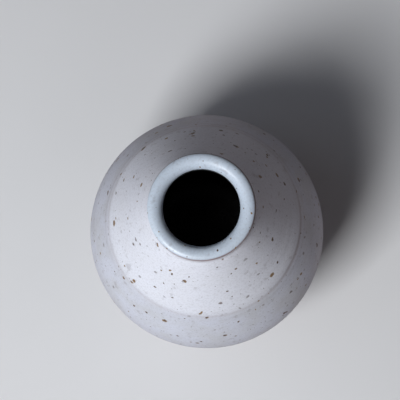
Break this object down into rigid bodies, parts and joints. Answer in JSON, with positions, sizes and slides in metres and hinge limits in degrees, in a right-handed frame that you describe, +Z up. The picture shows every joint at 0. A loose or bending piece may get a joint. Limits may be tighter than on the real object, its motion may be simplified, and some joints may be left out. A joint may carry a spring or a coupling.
{
  "type": "bud vase",
  "caption": "Wheel-thrown stoneware bud vase with a round belly, a tapered shoulder, a rolled lip and a narrow throat.",
  "frame": {"origin": "centre of the foot ring, on the plane that the vase stands on", "axes": "+Z up through the mouth; +X to the right and -Y towards the viewer as the vase is seen from the front"},
  "size_m": [0.084, 0.084, 0.105],
  "materials": {
    "bare_stoneware": "unglazed toasted stoneware with iron grains",
    "white_glaze": "cool white satin glaze over speckled clay",
    "liner_glaze": "dark iron liner glaze, glossy",
    "iron_spot": "melted iron grains, satin"
  },
  "bodies": {
    "root": {"stoneware_body": "bare_stoneware", "exterior_glaze": "white_glaze", "rim_glaze": "white_glaze", "interior_glaze": "liner_glaze", "iron_spots": "iron_spot"}
  },
  "joints": []
}
